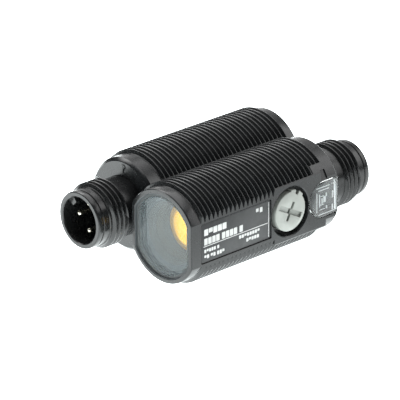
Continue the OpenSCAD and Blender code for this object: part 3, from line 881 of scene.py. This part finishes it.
def make_label(unit):
    """Plate with a softened upper edge, a little smaller than its recess."""
    rings = [rounded_rect(x, LABEL_Y0 + g, LABEL_Y1 - g, -LABEL_HALF + g, LABEL_HALF - g, LABEL_CORNER_R)
             for x, g in ((FLAT - LABEL_DEPTH + 0.002, LABEL_GAP), (LABEL_TOP - 0.04, LABEL_GAP),
                          (LABEL_TOP, LABEL_GAP + 0.05))]
    obj = mesh_object(unit + "_label_plate", Shape().skin(rings))
    finish_piece(obj, unit, unit, LABEL_GREY, [unit + "_label"])


def make_print(unit):
    """Generic printing: rules and rows of short bars that stand for text, with no letters."""
    shape = Shape()

    def bar(y0, y1, z0, z1, r=0.08):
        """Rounded block, sunk a little into the plate."""
        r = min(r, (z1 - z0) / 2.2, (y1 - y0) / 2.2)
        shape.skin([rounded_rect(x, y0, y1, z0, z1, r, n=3) for x in (LABEL_TOP - 0.005, LABEL_TOP + 0.015)])

    def words(y0, z0, height, counts, glyph, gap=0.14):
        """Rows of small blocks that stand for words."""
        y = y0
        for count in counts:
            for k in range(count):
                low = z0 + (height * 0.30 if (k * 7 + count) % 5 == 2 else 0.0)
                bar(y, y + glyph, low, z0 + height, r=0.12)
                y += glyph + gap
            y += glyph * 0.55

    # Two rules, then rows of words: place, height, blocks in each word and width of a block
    bar(2.9, 18.0, -0.65, -0.52)
    bar(18.15, 18.28, -3.2, 3.2)
    words(3.1, 1.35, 1.15, (5,), 0.92)
    words(15.2, 1.9, 0.9, (2,), 0.62, gap=0.3)
    words(3.1, -0.35, 1.2, (4, 4, 1), 0.78)
    words(11.2, -1.55, 0.62, (8,), 0.52, gap=0.1)
    words(12.9, -2.55, 0.62, (5,), 0.52, gap=0.1)
    words(3.1, -1.75, 0.62, (5, 1), 0.45, gap=0.1)
    words(3.1, -2.85, 0.68, (2, 2, 3), 0.5, gap=0.1)
    obj = mesh_object(unit + "_label_print", shape)
    finish_piece(obj, unit, unit, PRINT_WHITE)


for unit in PLACE:
    make_label(unit)
    make_print(unit)


# ------------------------------------------------------------------ adjuster

def dial_ring(x, inset, n=96):
    """Outline of the dial with a tooth on either side of its pointer notch."""
    angles = [TAU * i / n - math.pi for i in range(n)]
    for degrees in (DIAL_TOOTH_HALF, DIAL_NOTCH_HALF):
        for side in (-1, 1):
            a = side * math.radians(degrees)
            angles += [a - DIAL_STEP_ANGLE, a + DIAL_STEP_ANGLE]
    ring = []
    for a in sorted(set(angles)):
        width = abs(math.degrees(a))
        r = DIAL_R
        if width < DIAL_TOOTH_HALF:
            r = DIAL_TOOTH_R
        if width < DIAL_NOTCH_HALF:
            r = DIAL_NOTCH_R
        r -= inset
        t = a + DIAL_ANGLE
        ring.append((x, DIAL_Y + r * math.cos(t), r * math.sin(t)))
    return ring


def turned_box(x0, x1, along, across):
    """Box across the dial's face, along and across its pointer."""
    shape = Shape().box((x0, -along / 2, -across / 2), (x1, along / 2, across / 2))
    return shape.move(Matrix.Translation((0, DIAL_Y, 0)) @ Matrix.Rotation(DIAL_ANGLE, 4, "X"))


def make_dial():
    """Dial with its screwdriver slots, its shaft and the blade that turns the trimmer."""
    rings = [dial_ring(x, inset) for x, inset in (
        (DIAL_BACK, 0.06), (DIAL_BACK + 0.06, 0.0), (DIAL_FACE - 0.16, 0.0), (DIAL_FACE - 0.05, 0.05),
        (DIAL_FACE, 0.16))]
    obj = mesh_object("sensitivity_dial", Shape().skin(rings))
    shaft = lathe_dial([(SHAFT_R, 3.95), (SHAFT_R, DIAL_BACK + 0.2)], 40)
    boolean(obj, mesh_object("shaft", shaft), "UNION")
    boolean(obj, mesh_object("blade", turned_box(3.2, 4.2, 2.2, 0.6)), "UNION")
    boolean(obj, mesh_object("wide_slot", turned_box(DIAL_FACE - 0.4, DIAL_FACE + 1, 0.95, 5.8)))
    boolean(obj, mesh_object("narrow_slot", turned_box(DIAL_FACE - 0.8, DIAL_FACE + 1, 3.5, 0.55)))
    bevel(obj, 0.05, angle=50)
    finish_piece(obj, "receiver", "adjuster", DIAL_WHITE, ["adjuster_dial"])


make_dial()


# ------------------------------------------------------------------ indicator windows

def make_indicator(unit):
    """Clear cap with a softened edge, hollow underneath around its light guide."""
    rings = [clear_ring(x, inset, BODY_LEN - rear) for x, inset, rear in (
        (CLEAR_IN + 0.01, 0.0, 0.0), (FLAT - 0.14, 0.0, 0.0), (FLAT - 0.05, 0.08, 0.08),
        (FLAT - 0.02, 0.30, 0.25), (FLAT, 0.34, 0.29))]
    obj = mesh_object(unit + "_clear_window", Shape().skin(rings))
    pocket = Shape().skin([clear_ring(x, 0.45, BODY_LEN - 0.3) for x in (CLEAR_IN - 1, FLAT - 0.35)])
    boolean(obj, mesh_object("pocket", pocket))
    finish_piece(obj, unit, unit, CLEAR, [unit + "_indicator_window"])


def make_guide(unit):
    """Light guide: a plate on two columns, facets up in the clear window that are white and glow as painted
    glints, and the deck below them.
    """
    shape = Shape()
    shape.box((GUIDE_TOP - 0.35, 29.1, -GUIDE_HALF), (GUIDE_TOP, 31.3, GUIDE_HALF))
    for z in (-GUIDE_HALF, GUIDE_HALF - 1.8):
        shape.box((2.4, 29.3, z), (GUIDE_TOP - 0.36, 31.1, z + 1.8))
    obj = mesh_object(unit + "_ribbed_guide", shape)
    bevel(obj, 0.03)
    finish_piece(obj, unit, unit, GUIDE, [unit + "_light_guide"])
    low = FLAT - 0.47
    high = FLAT - 0.34
    facets = Shape()
    # Facets across the unit, then the thin ones along it; their white glow is a painted glint
    for y, width, z0, z1 in ((33.65, 0.28, -0.4, 0.85), (33.6, 0.26, -2.65, -1.6), (34.42, 0.22, -2.8, 1.9),
                             (32.15, 0.26, 0.25, 0.85), (32.2, 0.26, -2.0, -1.5), (31.6, 0.5, -0.75, 0.35),
                             (31.15, 0.2, -0.9, 0.1), (30.6, 0.14, -1.4, 0.9), (29.95, 0.12, -2.2, 1.3)):
        facets.box((low, y, z0), (high, y + width, z1))
    for z, y0, y1 in ((2.08, 29.9, 33.1), (1.55, 30.4, 32.9), (2.15, 33.5, 34.6), (0.45, 30.9, 31.7),
                      (-1.95, 30.7, 31.9), (-1.1, 30.8, 31.7), (-2.85, 30.4, 34.3)):
        facets.box((low, y0, z), (high, y1, z + 0.1))
    obj = mesh_object(unit + "_guide_facets", facets)
    finish_piece(obj, unit, unit, FACETS_PAINTED_GLINTS)
    deck = Shape().box((DECK_X, DECK_Y0, DECK_Z0), (DECK_X + 0.1, DECK_Y1, DECK_Z1))
    deck.box((CLEAR_IN + 0.02, DECK_Y0, DECK_Z0), (DECK_X - 0.01, DECK_Y0 + 0.2, DECK_Z1))
    obj = mesh_object(unit + "_guide_deck", deck)
    bevel(obj, 0.03)
    finish_piece(obj, unit, unit, INNER_BLACK)


for unit in PLACE:
    make_indicator(unit)
    make_guide(unit)


# ------------------------------------------------------------------ plugs

def make_plug(unit):
    """Threaded plug shell with its nose, groove, socket and key."""
    key_half = math.atan(KEY_HALF_W / KEY_R)
    angles = columns(96, (KEY_ANGLE - key_half, KEY_ANGLE + key_half))

    def rings(profile):
        """Rows at one radius each, from (radius, y) pairs."""
        return [plain_row(angles, r, y) for r, y in profile]

    def keyed(y):
        """The socket's row where the key narrows it."""
        row = []
        for a in angles:
            off = a - KEY_ANGLE
            row.append(column_point(a, KEY_R / math.cos(off) if abs(off) < key_half else SOCKET_R, y))
        return row

    flange_back = REAR_WALL_Y - 0.02
    thread_end = PLUG_START + PLUG_TURNS * PLUG_PITCH
    groove = NOSE_GROOVE_Y
    groove_r = NOSE_R - NOSE_GROOVE_DEPTH
    key_end = UNIT_LEN - KEY_SETBACK
    rows = rings([(SOCKET_R, FLANGE_Y), (FLANGE_R, FLANGE_Y), (FLANGE_R, flange_back), (NECK_R, flange_back),
                  (NECK_R, PLUG_START - 0.2), (PLUG_ROOT_R, PLUG_START)])
    rows += thread_rows(angles, PLUG_START, PLUG_TURNS, PLUG_PITCH, PLUG_ROOT_R, PLUG_R)
    rows += rings([(NOSE_R, thread_end + 0.15), (NOSE_R, groove - 0.06), (NOSE_R - 0.05, groove),
                   (groove_r, groove + 0.05), (groove_r, groove + 0.25), (NOSE_R - 0.05, groove + 0.3),
                   (NOSE_R, groove + 0.36), (NOSE_R, UNIT_LEN - 0.25), (NOSE_R - 0.07, UNIT_LEN - 0.08),
                   (NOSE_R - 0.2, UNIT_LEN), (SOCKET_R + 0.15, UNIT_LEN), (SOCKET_R, UNIT_LEN - 0.15),
                   (SOCKET_R, key_end)])
    rows += [keyed(key_end), keyed(SOCKET_FLOOR), plain_row(angles, SOCKET_R, SOCKET_FLOOR), rows[0]]
    shape = Shape().skin(rows, closed=False, caps=False)
    obj = mesh_object(unit + "_plug_shell", shape)
    finish_piece(obj, unit, unit, PLUG_BLACK, [unit + "_connector_shell"], smooth=28)


def make_pins(unit):
    """Four contact pins with domed tips."""
    shape = Shape()
    tip = [(PIN_R * math.cos(a), PIN_TIP - PIN_R * 0.7 + PIN_R * 0.7 * math.sin(a))
           for a in (0.0, 0.35, 0.7, 1.05, 1.35, 1.55)]
    profile = [(PIN_R * 0.9, FLANGE_Y + 0.15), (PIN_R, FLANGE_Y + 0.2)] + tip
    for quarter in range(4):
        a = quarter * math.pi / 2
        pin = lathe(profile, 28)
        pin.move(Matrix.Translation((PIN_CIRCLE_R * math.cos(a), 0, PIN_CIRCLE_R * math.sin(a))))
        shape.add(pin.verts, pin.faces)
    obj = mesh_object(unit + "_contact_pins", shape)
    finish_piece(obj, unit, unit, PIN_METAL, [unit + "_pins"])


for unit in PLACE:
    make_plug(unit)
    make_pins(unit)


# ------------------------------------------------------------------ pieces that stay as CAD made them

SLOT_MATERIALS = {
    "housing": BLACK, "front_window": WINDOW_CLEAR, "rubber": RUBBER, "inner_black": INNER_BLACK,
    "circuit_board": BOARD, "board_parts": PACKAGE_BLACK, "flex": FLEX_AMBER, "label": LABEL_GREY,
    "indicator_window": CLEAR, "light_guide": GUIDE, "connector": PLUG_BLACK, "pin_carrier": CARRIER_BLACK,
    "pins": PIN_METAL, "lead_wires": WIRE_METAL, "amber_lens": AMBER_PAINTED_GLOW, "emitter_lens": LENS_CLEAR,
    "shield": SHIELD_METAL, "trimmer_case": CASE_WHITE, "trimmer_rotor": ROTOR_CREAM,
    "indicator_lamp": LAMP_CREAM, "emitter_led": LED_RED, "dial": DIAL_WHITE,
}


def dress_cad_nodes():
    """Gives every CAD node the material of its slot."""
    for part in frame["record"]["subparts"]:
        node = frame["nodes"][part["node"]]
        node.data.materials.clear()
        node.data.materials.append(SLOT_MATERIALS[part["material_slot"]])


dress_cad_nodes()


# ------------------------------------------------------------------ studio

# Degrees, millimetres and a point in the receiver's own frame
CAMERA_AZIMUTH = 46.74
CAMERA_ELEVATION = 22.42
CAMERA_ROLL = -0.446
CAMERA_DISTANCE = 587.35
CAMERA_LENS = 305.8
CAMERA_TARGET = (-7.2535, 15.843, 0)

# Distance of the softboxes from the part, and of the small card from the plug's end, in metres
STAND_OFF = 0.7
CARD_STAND_OFF = 0.075


def area_light(name, location, target, size, power):
    """Rectangular white light that faces a target."""
    data = bpy.data.lights.new(name, "AREA")
    data.shape = "RECTANGLE"
    data.size, data.size_y = size
    data.energy = power
    obj = bpy.data.objects.new(name, data)
    obj.location = location
    obj.rotation_euler = (Vector(target) - Vector(location)).to_track_quat("-Z", "Y").to_euler()
    bpy.context.scene.collection.objects.link(obj)
    return obj


def make_floor():
    """White light table, brighter towards the front left, under the part and behind its plug.

    Each of the three glows is a strength against a distance in metres.
    """
    material, nodes, links, shader = node_material("studio_floor")
    shader.inputs["Base Color"].default_value = (0.5, 0.5, 0.5, 1)
    shader.inputs["Roughness"].default_value = 0.9
    shader.inputs["Specular IOR Level"].default_value = 0.1
    shader.inputs["Emission Color"].default_value = (0.94, 1.0, 1.0, 1)
    coords = nodes.new("ShaderNodeTexCoord")
    along = nodes.new("ShaderNodeVectorMath")
    along.operation = "DOT_PRODUCT"
    along.inputs[1].default_value = (-0.707, -0.707, 0)
    links.new(coords.outputs["Object"], along.inputs[0])
    front = map_value(nodes, links, along.outputs["Value"], 0.8, 3.2, -0.045, 0.05)
    reach = nodes.new("ShaderNodeVectorMath")
    reach.operation = "LENGTH"
    links.new(coords.outputs["Object"], reach.inputs[0])
    under = map_value(nodes, links, reach.outputs["Value"], 0.9, 0.0, 0.023, 0.030)
    split = nodes.new("ShaderNodeSeparateXYZ")
    links.new(coords.outputs["Object"], split.inputs["Vector"])
    behind = map_value(nodes, links, split.outputs["Y"], 0.0, 0.8, 0.030, 0.040)
    glow = combine(nodes, links, "ADD", front, combine(nodes, links, "ADD", under, behind))
    links.new(glow, shader.inputs["Emission Strength"])
    half = 6.0
    corners = [(-half, -half, 0), (half, -half, 0), (half, half, 0), (-half, half, 0)]
    mesh = bpy.data.meshes.new("studio_floor")
    mesh.from_pydata(corners, [], [(0, 1, 2, 3)])
    mesh.materials.append(material)
    obj = bpy.data.objects.new("studio_floor", mesh)
    bpy.context.scene.collection.objects.link(obj)


def make_world():
    """Faint white surroundings."""
    world = bpy.data.worlds.new("studio")
    world.use_nodes = True
    background = world.node_tree.nodes["Background"]
    background.inputs["Color"].default_value = (1, 1, 1, 1)
    background.inputs["Strength"].default_value = 0.04
    bpy.context.scene.world = world


def make_camera():
    """Camera at the photograph's angle, with a long lens."""
    azimuth = math.radians(CAMERA_AZIMUTH)
    elevation = math.radians(CAMERA_ELEVATION)
    roll = math.radians(CAMERA_ROLL)
    target = PLACE["receiver"] @ Vector(CAMERA_TARGET)
    distance = CAMERA_DISTANCE * MM
    back = Vector((math.sin(azimuth) * math.cos(elevation), -math.cos(azimuth) * math.cos(elevation),
                   math.sin(elevation)))
    right = Vector((math.cos(azimuth), math.sin(azimuth), 0))
    up = back.cross(right)
    right, up = right * math.cos(roll) + up * math.sin(roll), up * math.cos(roll) - right * math.sin(roll)
    data = bpy.data.cameras.new("camera")
    data.sensor_width = 36
    data.lens = CAMERA_LENS
    data.clip_start = 0.01
    camera = bpy.data.objects.new("camera", data)
    place = Matrix.Identity(4)
    for row in range(3):
        place[row][0] = right[row]
        place[row][1] = up[row]
        place[row][2] = back[row]
        place[row][3] = (target + back * distance)[row]
    camera.matrix_world = place
    bpy.context.scene.collection.objects.link(camera)
    bpy.context.scene.camera = camera


make_floor()
make_world()
make_camera()
# Name, direction from the part, size in metres and power in watts
for light_name, direction, light_size, power in (
        ("softbox_left", (-0.68, -0.02, 0.72), (0.75, 0.30), 3.0),
        ("softbox_low_left", (-0.72, 0.63, 0.11), (0.70, 0.20), 0.45),
        ("softbox_rear_left", (-0.67, 0.63, 0.36), (0.60, 0.25), 0.35),
        ("softbox_back", (-0.18, 0.64, 0.74), (0.70, 0.40), 0.35),
        ("softbox_rear_right", (0.50, 0.66, 0.52), (0.60, 0.45), 1.5),
        ("softbox_top", (-0.20, 0.05, 0.97), (0.90, 0.80), 4.8)):
    area_light(light_name, Vector(direction).normalized() * STAND_OFF, (0, 0, 0.01), light_size, power)
PLUG_END = PLACE["receiver"] @ Vector((0, UNIT_LEN, PLUG_R))
CARD_PLACE = PLUG_END + Vector((0.34, 0.63, 0.69)) * CARD_STAND_OFF
card = area_light("card_behind_plug", CARD_PLACE, PLUG_END, (0.06, 0.05), 0.009)
card.visible_camera = False

scene = bpy.context.scene
scene.view_settings.view_transform = "Standard"
scene.view_settings.look = "None"

bpy.context.view_layer.update()
